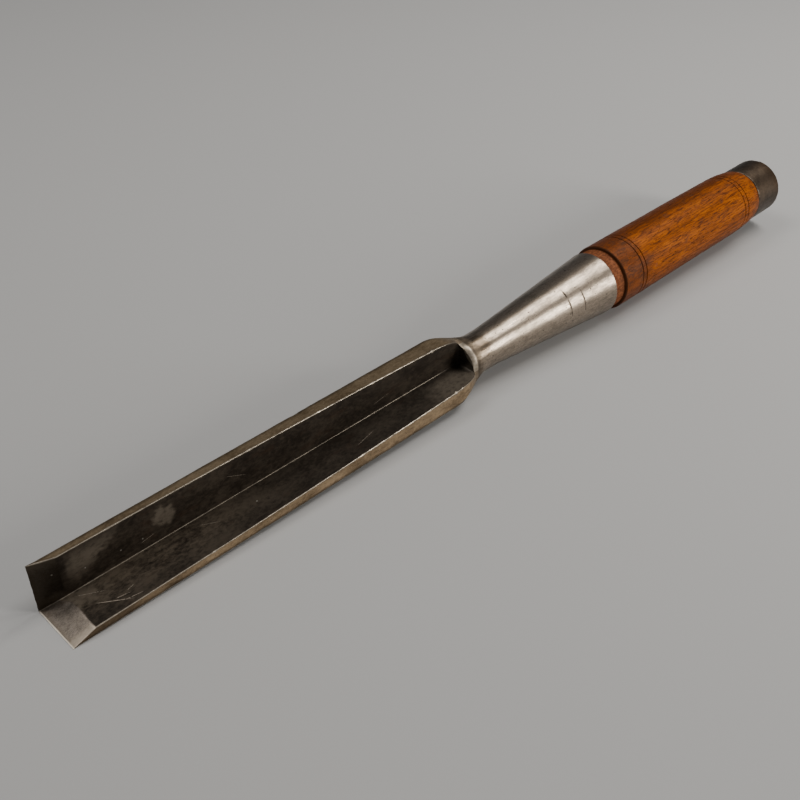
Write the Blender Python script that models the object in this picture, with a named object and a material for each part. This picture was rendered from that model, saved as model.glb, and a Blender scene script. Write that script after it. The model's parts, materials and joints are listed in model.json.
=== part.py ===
"""Socket corner chisel, built as the pieces it is made of.

The tool is modelled along its own axis: local X runs from the cutting edges to the butt along
the socket's axis, the near wing lies below the axis and the far wing stands beside it.
An empty named tool_axis then lays the tool down as it rests on a bench: on the near wing's
cutting edge and on the swell of the handle.  World +Z is up and z = 0 is the bench.

Pieces: corner_blade (V-section blade with its neck), socket (tapered, forge-welded to the neck),
handle (turned, with a tapered tenon) and hoop (steel striking ring).
"""

import math

import bmesh
import bpy

MM = 0.001

# Blade, measured along the axis from the cutting edges.
WING_WIDTH = 25.4 * MM  # outside width of each wing
NECK_RADIUS = 10.3 * MM
CORNER_OFFSET = NECK_RADIUS  # from the axis to each outer face, so the neck runs out flush with them
BEVEL_LENGTH = 10.3 * MM  # inside bevel, along the axis
EDGE_THICKNESS = 0.25 * MM  # what is left at the cutting edge
THICKNESS_AT_HEEL = 3.9 * MM  # wing thickness where the bevel ends
THICKNESS_GAIN = 2.1 * MM  # straight part of the thickening towards the shoulders
THICKNESS_SWELL = 4.0 * MM  # part of it that grows with the square of the distance
SHOULDER_START = 209.0 * MM  # the arrises start to draw in
CHANNEL_END = 226.0 * MM  # foot of the wall that closes the channel
LIP_LENGTH = 3.4 * MM  # worn bevel on the wall's rim
LIP_DEPTH = 0.9 * MM
RIM_RISE = 0.3 * MM  # the wall leans back by this much on its way up to the rim
SWEEP_START = 210.0 * MM  # the outer faces start to draw in
SWEEP_END = 238.0 * MM
WING_CORNER_RADIUS = math.hypot(WING_WIDTH - CORNER_OFFSET, CORNER_OFFSET)
WELD_X = 240.0 * MM  # forge weld between the blade's neck and the socket
CHANNEL_DIRECTION = math.radians(135.0)  # the channel opens halfway between -Y and +Z
CHANNEL_SPREAD = math.radians(45.0)  # its sides lie this far to each side of that
SPREAD_TO_OUTER_FACES = math.radians(33.0)  # and the outer faces begin this far beyond

# Socket.
SOCKET_MOUTH_X = 332.5 * MM
SOCKET_MOUTH_RADIUS = 17.7 * MM
SOCKET_FLARE = 1.06  # 1 is a straight cone, more gives a waist at the neck
SOCKET_WALL_AT_MOUTH = 1.4 * MM
BORE_BOTTOM_X = 262.0 * MM
BORE_BOTTOM_RADIUS = 9.0 * MM
BORE_POINT_LENGTH = 5.0 * MM  # the bore ends in a blunt point
RIM_CHAMFER = 0.35 * MM

# Handle.
GAP = 0.3 * MM  # between pieces that touch
TENON_END_X = 267.0 * MM
TENON_CHAMFER = 1.5 * MM
SHOULDER_X = 340.5 * MM
BARREL_RADIUS = 18.5 * MM
BARREL_EDGE = 1.0 * MM  # rounding of the shoulder's edge
NOSE_START_X = 446.0 * MM  # the barrel starts to draw in towards the hoop
HOOP_SHOULDER_X = 479.3 * MM
HOOP_SHOULDER_RADIUS = 16.8 * MM
NOSE_FULLNESS = 3.6  # how late the barrel draws in
GROOVE_PLACES = [355.9 * MM, 359.1 * MM, 461.3 * MM, 465.1 * MM]
GROOVE_DEPTH = 0.4 * MM
GROOVE_HALF_WIDTH = 0.55 * MM
HOOP_SEAT_RADIUS = 14.1 * MM
BUTT_EDGE_X = 503.6 * MM
BUTT_FLAT_X = 505.6 * MM
BUTT_FLAT_RADIUS = 6.0 * MM

# Hoop.
HOOP_OUTER_RADIUS = 16.7 * MM
HOOP_INNER_RADIUS = HOOP_SEAT_RADIUS + GAP
HOOP_END_X = 504.2 * MM
HOOP_NEAR_CHAMFER = 0.6 * MM
HOOP_FAR_ROUNDING = 2.2 * MM

# Facets.
POINTS_PER_WING = 6
POINTS_PER_WING_EDGE = 3
BODY_STEPS = 8  # along the blade, from the bevel to the shoulders
SHOULDER_STEPS = 7
NECK_STEPS = 4
TURNED_STEPS = 48  # round each turned piece
SOCKET_STEPS = 7
NOSE_STEPS = 4
BUTT_STEPS = 3
HOOP_ROUNDING_STEPS = 4
SHARP_ON_BLADE = math.radians(28.0)  # edges that turn more than this stay sharp
SHARP_ON_TURNED = math.radians(35.0)
MERGE_DISTANCE = 0.001 * MM


def smoothstep(value):
    """0 to 1 with level ends."""
    value = min(1.0, max(0.0, value))
    return value * value * (3.0 - 2.0 * value)


# ---------------------------------------------------------------- blade


def wing_thickness(x):
    """Thickness of both wings: the inside bevel first, then a slow swell to the shoulders."""
    if x < BEVEL_LENGTH:
        return EDGE_THICKNESS + (THICKNESS_AT_HEEL - EDGE_THICKNESS) * x / BEVEL_LENGTH
    along = (x - BEVEL_LENGTH) / (CHANNEL_END - BEVEL_LENGTH)
    return THICKNESS_AT_HEEL + THICKNESS_GAIN * along + THICKNESS_SWELL * along * along


def arris_reach(x):
    """Distance from the axis at which the shoulders cut the channel's arrises."""
    full = WING_WIDTH - CORNER_OFFSET
    if x <= SHOULDER_START:
        return full
    along = min(1.0, (x - SHOULDER_START) / (CHANNEL_END - SHOULDER_START))
    return NECK_RADIUS + (full - NECK_RADIUS) * math.sqrt(1.0 - along * along)


def sweep_reach(x):
    """Distance from the axis at which the shoulders cut the outer faces and their corner."""
    along = (x - SWEEP_START) / (SWEEP_END - SWEEP_START)
    return NECK_RADIUS + (WING_CORNER_RADIUS - NECK_RADIUS) * (1.0 - smoothstep(along))


def away_from_channel(y, z):
    """0 for a direction at the channel's sides, 1 for one well round on the outer faces."""
    turned_by = abs((math.atan2(z, y) - CHANNEL_DIRECTION + math.pi) % (2.0 * math.pi) - math.pi)
    return smoothstep((turned_by - CHANNEL_SPREAD) / SPREAD_TO_OUTER_FACES)


def trimmed(x, y, z):
    """A section point drawn in to the shoulders, along its own radius."""
    radius = math.hypot(y, z)
    weight = away_from_channel(y, z)
    reach = arris_reach(x) * (1.0 - weight) + sweep_reach(x) * weight
    if radius <= reach:
        return (x, y, z)
    return (x, y * reach / radius, z * reach / radius)


def outer_path(x):
    """Near wing's outer edge, outer corner, far wing's outer edge."""
    near = [
        (CORNER_OFFSET - WING_WIDTH * (1.0 - i / POINTS_PER_WING), -CORNER_OFFSET)
        for i in range(POINTS_PER_WING)
    ]
    far = [(-z, -y) for y, z in reversed(near)]
    corner = (CORNER_OFFSET, -CORNER_OFFSET)
    return [trimmed(x, y, z) for y, z in near + [corner] + far]


def channel_path(x):
    """Far arris, inner corner, near arris."""
    inside = CORNER_OFFSET - wing_thickness(x)
    arris = WING_WIDTH - CORNER_OFFSET
    width = arris + inside
    far = [(inside, arris - width * i / POINTS_PER_WING) for i in range(POINTS_PER_WING)]
    near = [(-z, -y) for y, z in reversed(far)]
    return [trimmed(x, y, z) for y, z in far + [(inside, -inside)] + near]


def lip_path(x, depth):
    """The rim of the wall that closes the channel, from the far side round to the near side."""
    count = 2 * POINTS_PER_WING
    points = []
    for i in range(count + 1):
        angle = math.radians(90.0 + 90.0 * i / count)
        radius = NECK_RADIUS - depth * math.sin(math.pi * i / count)
        points.append((x, radius * math.cos(angle), radius * math.sin(angle)))
    return points


def edge_path(x, start, end):
    """The points between two corners of a wing's edge face, ends left out."""
    points = []
    for i in range(1, POINTS_PER_WING_EDGE):
        share = i / POINTS_PER_WING_EDGE
        y = start[1] + (end[1] - start[1]) * share
        z = start[2] + (end[2] - start[2]) * share
        if x > CHANNEL_END:
            scale = math.hypot(start[1], start[2]) * (1.0 - share)
            scale += math.hypot(end[1], end[2]) * share
            scale /= math.hypot(y, z)
            y, z = y * scale, z * scale
        points.append((x, y, z))
    return points


def blade_section(x, inner):
    """One closed loop of points round the blade at x."""
    outer = outer_path(x)
    far_edge = edge_path(x, outer[-1], inner[0])
    near_edge = edge_path(x, inner[-1], outer[0])
    return outer + far_edge + inner + near_edge


def blade_sections():
    """The loops from the cutting edges to the weld."""
    open_places = [0.0, BEVEL_LENGTH]
    for i in range(1, BODY_STEPS + 1):
        open_places.append(BEVEL_LENGTH + (SHOULDER_START - BEVEL_LENGTH) * i / BODY_STEPS)
    for i in range(1, SHOULDER_STEPS + 1):
        share = math.sin(0.5 * math.pi * i / SHOULDER_STEPS)
        open_places.append(SHOULDER_START + (CHANNEL_END - SHOULDER_START) * share)
    sections = [blade_section(x, channel_path(x)) for x in open_places]
    wall_top = CHANNEL_END + RIM_RISE
    sections.append(blade_section(wall_top, lip_path(wall_top, LIP_DEPTH)))
    lip_end = CHANNEL_END + LIP_LENGTH
    for i in range(NECK_STEPS + 1):
        x = lip_end + (WELD_X - lip_end) * i / NECK_STEPS
        sections.append(blade_section(x, lip_path(x, 0.0)))
    return sections


def corner_blade():
    """Skins the loops, closes the cutting edges with a strip and the weld with a disc."""
    bm = bmesh.new()
    rings = [[bm.verts.new(point) for point in loop] for loop in blade_sections()]
    count = len(rings[0])
    for ring, following in zip(rings, rings[1:]):
        for i in range(count):
            j = (i + 1) % count
            bm.faces.new((ring[i], ring[j], following[j], following[i]))
    per_path = 2 * POINTS_PER_WING + 1
    tip = rings[0]
    outer = tip[:per_path]
    inner_start = per_path + POINTS_PER_WING_EDGE - 1
    inner = tip[inner_start : inner_start + per_path][::-1]
    far_edge = tip[per_path:inner_start]
    near_edge = tip[inner_start + per_path :]
    for i in range(per_path - 1):
        bm.faces.new((outer[i], inner[i], inner[i + 1], outer[i + 1]))
    bm.faces.new([outer[-1], inner[-1]] + far_edge[::-1])
    bm.faces.new([inner[0], outer[0]] + near_edge[::-1])
    bm.faces.new(rings[-1])
    return finished_object("corner_blade", bm, SHARP_ON_BLADE)


# ---------------------------------------------------------------- turned pieces


def turned(name, profile):
    """Spins a closed outline of (x, radius) points about the X axis."""
    bm = bmesh.new()
    points = [bm.verts.new((x, 0.0, radius)) for x, radius in profile]
    edges = [bm.edges.new(pair) for pair in zip(points, points[1:] + points[:1])]
    bmesh.ops.spin(
        bm,
        geom=points + edges,
        cent=(0.0, 0.0, 0.0),
        axis=(1.0, 0.0, 0.0),
        angle=2.0 * math.pi,
        steps=TURNED_STEPS,
        use_merge=True,
    )
    bmesh.ops.remove_doubles(bm, verts=bm.verts, dist=MERGE_DISTANCE)
    return finished_object(name, bm, SHARP_ON_TURNED)


def bore_radius(x):
    """Inside of the socket, a straight taper."""
    mouth = SOCKET_MOUTH_RADIUS - SOCKET_WALL_AT_MOUTH
    slope = (mouth - BORE_BOTTOM_RADIUS) / (SOCKET_MOUTH_X - BORE_BOTTOM_X)
    return mouth + slope * (x - SOCKET_MOUTH_X)


def socket_radius(x):
    """Outside of the socket."""
    along = (x - WELD_X) / (SOCKET_MOUTH_X - WELD_X)
    swell = SOCKET_MOUTH_RADIUS - NECK_RADIUS
    return NECK_RADIUS + swell * max(0.0, along) ** SOCKET_FLARE


def socket():
    """Tapered socket with its bore, from the weld to the mouth."""
    start = WELD_X + GAP
    outline = [(start, 0.0)]
    for i in range(SOCKET_STEPS + 1):
        x = start + (SOCKET_MOUTH_X - RIM_CHAMFER - start) * i / SOCKET_STEPS
        outline.append((x, socket_radius(x)))
    outline.append((SOCKET_MOUTH_X, SOCKET_MOUTH_RADIUS - RIM_CHAMFER))
    outline.append((SOCKET_MOUTH_X, bore_radius(SOCKET_MOUTH_X)))
    outline.append((BORE_BOTTOM_X, BORE_BOTTOM_RADIUS))
    outline.append((BORE_BOTTOM_X - BORE_POINT_LENGTH, 0.0))
    return turned("socket", outline)


def tenon_radius(x):
    """The tenon follows the bore with a small clearance."""
    return bore_radius(x) - GAP


def barrel_radius(x):
    """The grip: straight, then drawn in towards the hoop."""
    along = max(0.0, (x - NOSE_START_X) / (HOOP_SHOULDER_X - NOSE_START_X))
    return BARREL_RADIUS - (BARREL_RADIUS - HOOP_SHOULDER_RADIUS) * along**NOSE_FULLNESS


def grooved_barrel():
    """Outline of the grip, with a V groove at each scribed place."""
    places = [SHOULDER_X + BARREL_EDGE]
    for i in range(NOSE_STEPS + 1):
        share = math.sin(0.5 * math.pi * i / NOSE_STEPS)
        places.append(NOSE_START_X + (HOOP_SHOULDER_X - NOSE_START_X) * share)
    outline = [(x, barrel_radius(x)) for x in places]
    for middle in GROOVE_PLACES:
        for offset, depth in ((-1.0, 0.0), (0.0, GROOVE_DEPTH), (1.0, 0.0)):
            x = middle + offset * GROOVE_HALF_WIDTH
            outline.append((x, barrel_radius(x) - depth))
    return sorted(outline)


def handle_outline():
    """The handle's closed outline: tenon, shoulder, grip, hoop seat and domed butt."""
    outline = [(TENON_END_X, 0.0)]
    outline.append((TENON_END_X, tenon_radius(TENON_END_X) - TENON_CHAMFER))
    outline.append((TENON_END_X + TENON_CHAMFER, tenon_radius(TENON_END_X + TENON_CHAMFER)))
    outline.append((SHOULDER_X, tenon_radius(SHOULDER_X)))
    outline.append((SHOULDER_X, BARREL_RADIUS - BARREL_EDGE))
    inset = BARREL_EDGE * (1.0 - math.sin(math.radians(45.0)))
    outline.append((SHOULDER_X + inset, BARREL_RADIUS - inset))
    outline += grooved_barrel()
    outline.append((HOOP_SHOULDER_X, HOOP_SEAT_RADIUS))
    outline.append((BUTT_EDGE_X, HOOP_SEAT_RADIUS))
    for i in range(1, BUTT_STEPS + 1):
        share = i / BUTT_STEPS
        radius = HOOP_SEAT_RADIUS + (BUTT_FLAT_RADIUS - HOOP_SEAT_RADIUS) * share
        rise = (BUTT_FLAT_X - BUTT_EDGE_X) * math.sin(0.5 * math.pi * share)
        outline.append((BUTT_EDGE_X + rise, radius))
    outline.append((BUTT_FLAT_X, 0.0))
    return outline


def handle():
    """The turned handle."""
    return turned("handle", handle_outline())


def hoop():
    """The striking ring, chamfered towards the grip and rounded over at the butt."""
    near = HOOP_SHOULDER_X + GAP
    outline = [
        (near, HOOP_INNER_RADIUS),
        (near, HOOP_OUTER_RADIUS - HOOP_NEAR_CHAMFER),
        (near + HOOP_NEAR_CHAMFER, HOOP_OUTER_RADIUS),
    ]
    for i in range(HOOP_ROUNDING_STEPS + 1):
        angle = 0.5 * math.pi * i / HOOP_ROUNDING_STEPS
        x = HOOP_END_X - HOOP_FAR_ROUNDING * (1.0 - math.sin(angle))
        radius = HOOP_OUTER_RADIUS - HOOP_FAR_ROUNDING * (1.0 - math.cos(angle))
        outline.append((x, radius))
    outline.append((HOOP_END_X, HOOP_INNER_RADIUS))
    return turned("hoop", outline)


# ---------------------------------------------------------------- objects, materials, placing


def finished_object(name, bm, sharp_angle):
    """Faces out, mesh to object, smooth shading with the real edges kept sharp."""
    bmesh.ops.recalc_face_normals(bm, faces=bm.faces)
    mesh = bpy.data.meshes.new(name)
    bm.to_mesh(mesh)
    bm.free()
    mesh.shade_smooth()
    mesh.set_sharp_from_angle(angle=sharp_angle)
    made = bpy.data.objects.new(name, mesh)
    bpy.context.scene.collection.objects.link(made)
    return made


def principled(name, colour, roughness, metallic):
    """A plain Principled BSDF material."""
    material = bpy.data.materials.new(name)
    material.use_nodes = True
    shader = material.node_tree.nodes["Principled BSDF"]
    shader.inputs["Base Color"].default_value = (*colour, 1.0)
    shader.inputs["Roughness"].default_value = roughness
    shader.inputs["Metallic"].default_value = metallic
    return material


def empty(name, parent=None):
    """An unseen parent for placing pieces."""
    made = bpy.data.objects.new(name, None)
    made.parent = parent
    bpy.context.scene.collection.objects.link(made)
    return made


def rest_tilt():
    """Angle at which a line from the near cutting edge touches the handle from below."""
    swell = [(x, radius) for x, radius in handle_outline() if x >= SHOULDER_X]
    return max(math.atan2(radius - CORNER_OFFSET, x) for x, radius in swell)


def lie_on_bench(tool):
    """Tilts the tool onto its two supports, with the middle of its length over the origin."""
    tilt = rest_tilt()
    foremost = -(WING_WIDTH - CORNER_OFFSET) * math.sin(tilt)
    rearmost = BUTT_FLAT_X * math.cos(tilt) + BUTT_FLAT_RADIUS * math.sin(tilt)
    tool.rotation_euler = (0.0, -tilt, 0.0)
    tool.location = (-(foremost + rearmost) / 2.0, 0.0, CORNER_OFFSET * math.cos(tilt))


def main():
    """Clears the scene, makes the four pieces and lays the tool down."""
    for old in list(bpy.data.objects):
        bpy.data.objects.remove(old, do_unlink=True)

    dark_steel = principled("blade_steel", (0.16, 0.14, 0.125), 0.42, 1.0)
    bright_steel = principled("socket_steel", (0.50, 0.47, 0.43), 0.34, 1.0)
    hardwood = principled("handle_wood", (0.55, 0.25, 0.05), 0.42, 0.0)
    hoop_steel = principled("hoop_steel", (0.24, 0.21, 0.18), 0.45, 1.0)

    tool_axis = empty("tool_axis")
    handle_slide = empty("handle_slide", tool_axis)
    fixed_pieces = [(corner_blade(), dark_steel), (socket(), bright_steel)]
    sliding_pieces = [(handle(), hardwood), (hoop(), hoop_steel)]
    for parent, pieces in ((tool_axis, fixed_pieces), (handle_slide, sliding_pieces)):
        for piece, material in pieces:
            piece.data.materials.append(material)
            piece.parent = parent
    lie_on_bench(tool_axis)
    bpy.context.view_layer.update()


main()
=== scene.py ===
"""Looks for the socket corner chisel: fine meshes, worn surfaces, wood, floor, lights and camera.

Every piece is built in the tool's own axes (X from the cutting edges to the butt along the
socket's axis, near wing below, far wing behind) in millimetres, and then laid down with the
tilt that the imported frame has.
"""

import json
import math

import bmesh
import bpy
import numpy as np
from mathutils import Matrix, Vector

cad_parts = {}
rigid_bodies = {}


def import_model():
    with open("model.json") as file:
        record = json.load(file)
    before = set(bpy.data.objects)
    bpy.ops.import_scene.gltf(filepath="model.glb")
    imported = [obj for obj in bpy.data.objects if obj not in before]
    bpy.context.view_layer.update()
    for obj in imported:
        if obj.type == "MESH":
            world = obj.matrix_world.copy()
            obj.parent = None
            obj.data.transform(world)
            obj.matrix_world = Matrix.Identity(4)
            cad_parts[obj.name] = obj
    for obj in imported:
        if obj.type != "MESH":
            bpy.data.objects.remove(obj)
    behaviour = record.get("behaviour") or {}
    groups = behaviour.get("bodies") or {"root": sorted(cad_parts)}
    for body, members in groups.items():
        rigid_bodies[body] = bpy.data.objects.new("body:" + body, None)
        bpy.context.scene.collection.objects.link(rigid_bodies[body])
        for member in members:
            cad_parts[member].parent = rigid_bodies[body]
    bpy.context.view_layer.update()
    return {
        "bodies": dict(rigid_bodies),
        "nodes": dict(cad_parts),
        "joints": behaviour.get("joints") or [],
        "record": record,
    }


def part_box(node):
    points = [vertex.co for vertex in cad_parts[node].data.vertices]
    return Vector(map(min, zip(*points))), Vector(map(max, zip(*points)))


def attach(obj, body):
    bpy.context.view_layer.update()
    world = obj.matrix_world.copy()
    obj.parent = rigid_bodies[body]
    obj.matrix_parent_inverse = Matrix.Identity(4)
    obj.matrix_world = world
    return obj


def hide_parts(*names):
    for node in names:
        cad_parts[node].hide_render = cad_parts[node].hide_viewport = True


MM = 0.001
FORGING = "forging"
HOOPED_HANDLE = "hooped_handle"

# Blade, in millimetres.
EDGE_THICKNESS = 0.12
THICKNESS_AT_HEEL = 3.9
THICKNESS_GAIN = 2.1
THICKNESS_SWELL = 4.0
HEEL_SOFTNESS = 0.12
BEVEL_AT_ARRIS = 10.3
BEVEL_AT_CORNER = 7.6
BEVEL_BELLY = 0.35
SHOULDER_START = 209.0
CHANNEL_END = 226.0
CHANNEL_MIDDLE = 135.0  # degrees round the axis from +Y
CHANNEL_SPREAD = 45.0  # to each side of its middle
SPREAD_TO_OUTER_FACES = 78.0
SWEEP_START = 210.0
SWEEP_END = 238.0
LIP_LENGTH = 3.4
LIP_END = CHANNEL_END + LIP_LENGTH
LIP_DEPTH = 0.9
WELD = 240.0
NECK_RADIUS = 10.3

# A blade section's corners, each followed by its side.
NEAR_OUTER, OUTER_CORNER, FAR_OUTER, FAR_ARRIS, INNER_CORNER, NEAR_ARRIS = range(6)
FAR_EDGE, FAR_CHANNEL, NEAR_CHANNEL, NEAR_EDGE = 2, 3, 4, 5
CORNER_ROUNDING = (0.5, 0.5, 0.5, 0.24, 0.3, 0.24)
CORNER_WEAR = (0.12, 0.5, 0.25, 1.0, 0.0, 1.0)
# Corner, place, half width and extra rounding of each nick.
NICKS = (
    (FAR_ARRIS, 208.2, 1.6, 0.75),
    (NEAR_ARRIS, 208.8, 1.5, 0.8),
    (NEAR_ARRIS, 213.0, 1.0, 0.35),
    (NEAR_ARRIS, 148.0, 2.2, 0.3),
    (NEAR_ARRIS, 66.0, 1.4, 0.3),
    (FAR_ARRIS, 171.0, 1.8, 0.3),
    (FAR_ARRIS, 101.0, 2.4, 0.25),
    (FAR_ARRIS, 33.0, 2.0, 0.3),
    (NEAR_OUTER, 90.0, 3.0, 0.5),
    (FAR_OUTER, 130.0, 3.5, 0.5),
    (OUTER_CORNER, 60.0, 3.0, 0.6),
)
# Distance past the channel's foot, and share of the way from the channel to the rim.
WALL_STEPS = (
    (-0.9, 0.03),
    (-0.4, 0.1),
    (-0.1, 0.26),
    (0.05, 0.5),
    (0.13, 0.76),
    (0.2, 0.92),
    (0.34, 1.0),
)

# Between which places along the blade its marks begin or end.
ARRIS_WEAR_LESSENS = (180.0, 206.0)
NEAR_SMEAR_ENDS = (14.0, 27.0)
FAR_BAND_BEGINS = (10.8, 18.5)
GREY_END_BEGINS = (192.0, 210.0)
CREASE_ENDS = (209.0, 217.0)
EDGE_FACES_END = (214.0, 230.0)
BRIGHT_STEEL_BEGINS = (230.0, 234.5)
# The rubbed patch on the far wing: its middle and half size, along and across the wing.
FAR_PATCH = (57.5, 0.55)
FAR_PATCH_REACH = (5.5, 0.24)

# Socket, handle and hoop, in millimetres.
SOCKET_MOUTH = 332.5
SOCKET_MOUTH_RADIUS = 17.7
SOCKET_FLARE = 1.06
SOCKET_EASING = 0.11  # how soon it leaves the neck's straight line, as a share of it
SOCKET_WALL = 1.4
SOCKET_RIM = 0.35
BORE_BOTTOM = 262.0
BORE_BOTTOM_RADIUS = 9.0
BORE_POINT = 257.0
TENON_END = 267.0
TENON_CHAMFER = 1.5
FIT = 0.3
SHOULDER = 340.5
BARREL_RADIUS = 18.5
BARREL_EDGE = 1.0
NOSE_START = 446.0
NOSE_FULLNESS = 3.6
HOOP_SHOULDER = 479.3
HOOP_SHOULDER_RADIUS = 16.8
HOOP_SEAT_RADIUS = 14.1
HOOP_START = HOOP_SHOULDER + FIT
HOOP_RADIUS = 16.7
HOOP_END = 504.2
HOOP_CHAMFER = 0.6
HOOP_ROUNDING = 2.2
BUTT_EDGE = 503.6
BUTT_FLAT = 505.6
BUTT_FLAT_RADIUS = 6.0
GROOVES = (355.9, 359.1, 461.3, 465.1)
GROOVE_DEPTH = 0.42
GROOVE_HALF_WIDTH = 0.5
# Place along the axis, first and last angle round it, in degrees, of the scribed marks.
SCRIBED = ((297.3, 112.0, 172.0), (307.5, 132.0, 177.0))
SCRIBE_DEPTH = 0.2
SCRIBE_HALF_WIDTH = 0.55
DENT_DEPTH = 0.05  # of the socket and the hoop
SWELL_DEPTH = 0.06  # how far the grip is out of round
BRUISE_DEPTH = 0.16
HAMMERED_DEPTH = 0.22  # bruises of the hoop's far edge

# Mesh fineness, and the turn in degrees above which an edge stays sharp.
TURNED_STEPS = 200
WING_STEPS = 34
EDGE_STEPS = 9
CORNER_STEPS = 5
BLADE_STEP = 0.7
TURNED_STEP = 0.7
LIP_STEPS = 8
NECK_STEPS = 14
GROOVE_STEPS = np.linspace(-0.8, 0.8, 13)  # rings across a scribed line
SHARP_ON_BLADE = 32.0
SHARP_ON_SOCKET = 40.0
SHARP_ON_HANDLE = 42.0

# Camera, in the tool's own axes and millimetres.
EYE = Vector((-92.9, -280.3, 306.9))
LOOK = Vector((0.5556, 0.5593, -0.6152))
DOWN = Vector((-0.4278, -0.4422, -0.7883))
LENS = 47.7
SENSOR = 36.0

# Scratches on the channel's faces: start and end as (along, across from the outer corner), half width.
NEAR_SCRATCHES = (
    ((16.5, 15.0), (29.5, 23.6), 0.22),
    ((23.5, 18.4), (30.0, 19.6), 0.15),
    ((26.5, 21.6), (34.0, 22.9), 0.13),
    ((29.0, 17.9), (33.0, 17.0), 0.12),
    ((13.0, 6.5), (24.0, 12.6), 0.14),
    ((70.0, 9.0), (78.0, 13.5), 0.1),
    ((150.0, 19.0), (163.0, 16.5), 0.1),
)
FAR_SCRATCHES = (
    ((45.0, 8.5), (53.0, 10.0), 0.12),
    ((88.0, 18.0), (99.0, 13.0), 0.1),
    ((170.0, 12.5), (182.0, 15.0), 0.1),
)
# Pale specks on the channel's faces: (along, across from the outer corner).
NEAR_SPECKS = ((96.0, 14.6),)
FAR_SPECKS = ((7.7, 17.1), (20.6, 12.4), (36.3, 10.9), (46.3, 10.4))
SPECK_RADIUS = 0.34
# Middle and radius of the deeper pits on the socket.
SOCKET_PITS = (
    ((271.5, -5.4, 11.4), 0.42),
    ((269.0, -7.9, 9.7), 0.36),
    ((247.6, -4.6, 9.8), 0.45),
    ((314.1, -12.5, 10.3), 0.45),
    ((252.0, -1.8, 10.9), 0.35),
)
WELD_STAIN = (235.0, -5.5, 9.0)  # middle of the brown stain where the socket is welded on
PITH = (-34.0, 22.0)  # the tree's centre, as (y, z) beside the handle

# Plain pale surroundings. A light is name, direction, distance, size, power and colour.
FLOOR_REACH = 12.0  # metres to each side
FLOOR_COLOUR = (0.5, 0.495, 0.485)
WORLD_COLOUR = (0.86, 0.87, 0.9)
WORLD_STRENGTH = 0.15
LIGHTS = (
    ("key", (0.54, -0.12, 0.82), 1.5, (0.75, 0.46), 12.0, (1.0, 0.975, 0.94)),
    ("low_key", (0.55, -0.765, 0.33), 1.5, (0.4, 0.52), 11.5, (1.0, 0.97, 0.93)),
    ("back_fill", (-0.3, 0.36, 0.88), 1.5, (0.6, 0.6), 5.0, (1.0, 0.985, 0.965)),
)


# ---------------- frame


class Tool:
    """The tool's axes and driving sizes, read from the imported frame."""

    def __init__(self, frame):
        low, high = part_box("corner_blade")
        axis = Vector(frame["joints"][0]["axis"])
        tilt = math.atan2(axis.z, axis.x)
        self.offset = high.y / MM
        self.wing = (high.y - low.y) / MM
        self.arris = self.wing - self.offset
        tip_x = low.x + self.arris * MM * math.sin(tilt)
        place = Vector((tip_x, 0.0, self.offset * MM * math.cos(tilt)))
        self.to_world = Matrix.Translation(place) @ Matrix.Rotation(-tilt, 4, "Y")


# ---------------- shape helpers


def ramp(value, low=0.0, high=1.0):
    """0 below low, 1 above high, smooth between; takes numbers or arrays."""
    share = np.clip((np.asarray(value, float) - low) / (high - low), 0.0, 1.0)
    return share * share * (3.0 - 2.0 * share)


def bump(value, middle, half_width):
    """1 at middle, falling smoothly to 0 half_width away."""
    return 1.0 - ramp(np.abs(np.asarray(value, float) - middle), 0.0, half_width)


class Waves:
    """Smooth, seeded, repeatable unevenness: a sum of slanted sine waves, about -1 to 1."""

    def __init__(self, seed, longest, shortest, count=14):
        random = np.random.default_rng(seed)
        lengths = np.exp(random.uniform(math.log(shortest), math.log(longest), count))
        directions = random.normal(size=(count, 3))
        directions /= np.linalg.norm(directions, axis=1)[:, None]
        self.waves = (directions * (2.0 * math.pi / lengths)[:, None]).T
        self.phases = random.uniform(0.0, 2.0 * math.pi, count)
        self.weight = 0.8 / math.sqrt(count)

    def __call__(self, points):
        return np.sin(np.asarray(points) @ self.waves + self.phases).sum(axis=-1) * self.weight


def placed(name, data):
    """A new object in the scene."""
    made = bpy.data.objects.new(name, data)
    bpy.context.scene.collection.objects.link(made)
    return made


def skinned(name, tool, rings, caps, attributes, sharp_degrees, closed=False):
    """Skins rings of points into one smooth object. Its attributes tell the materials the place
    on the tool, in millimetres, and whatever else was worked out for each point."""
    count = rings.shape[1]
    here = np.arange(count)
    following = np.roll(here, -1)
    spans = len(rings) if closed else len(rings) - 1
    starts = (np.arange(spans) * count)[:, None]
    nexts = (starts + count) % (len(rings) * count)
    corners = [starts + here, starts + following, nexts + following, nexts + here]
    faces = np.stack(corners, axis=-1).reshape(-1, 4).tolist() + caps
    mesh = bpy.data.meshes.new(name)
    mesh.from_pydata((rings.reshape(-1, 3) * MM).tolist(), [], faces)
    place = mesh.attributes.new("tool", "FLOAT_VECTOR", "POINT")
    place.data.foreach_set("vector", rings.astype(np.float32).ravel())
    for key, values in attributes.items():
        layer = mesh.attributes.new(key, "FLOAT", "POINT")
        spread = np.broadcast_to(values, rings.shape[:2])
        layer.data.foreach_set("value", spread.astype(np.float32).ravel())
    mesh.transform(tool.to_world)
    bm = bmesh.new()
    bm.from_mesh(mesh)
    bmesh.ops.recalc_face_normals(bm, faces=bm.faces)
    bm.to_mesh(mesh)
    bm.free()
    mesh.shade_smooth()
    mesh.set_sharp_from_angle(angle=math.radians(sharp_degrees))
    return placed(name, mesh)


def ring_faces(rings, place):
    """The flat cap over one of the rings, given its place in the list."""
    count = rings.shape[1]
    start = (place % len(rings)) * count
    return list(range(start, start + count))


# ---------------- blade


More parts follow.
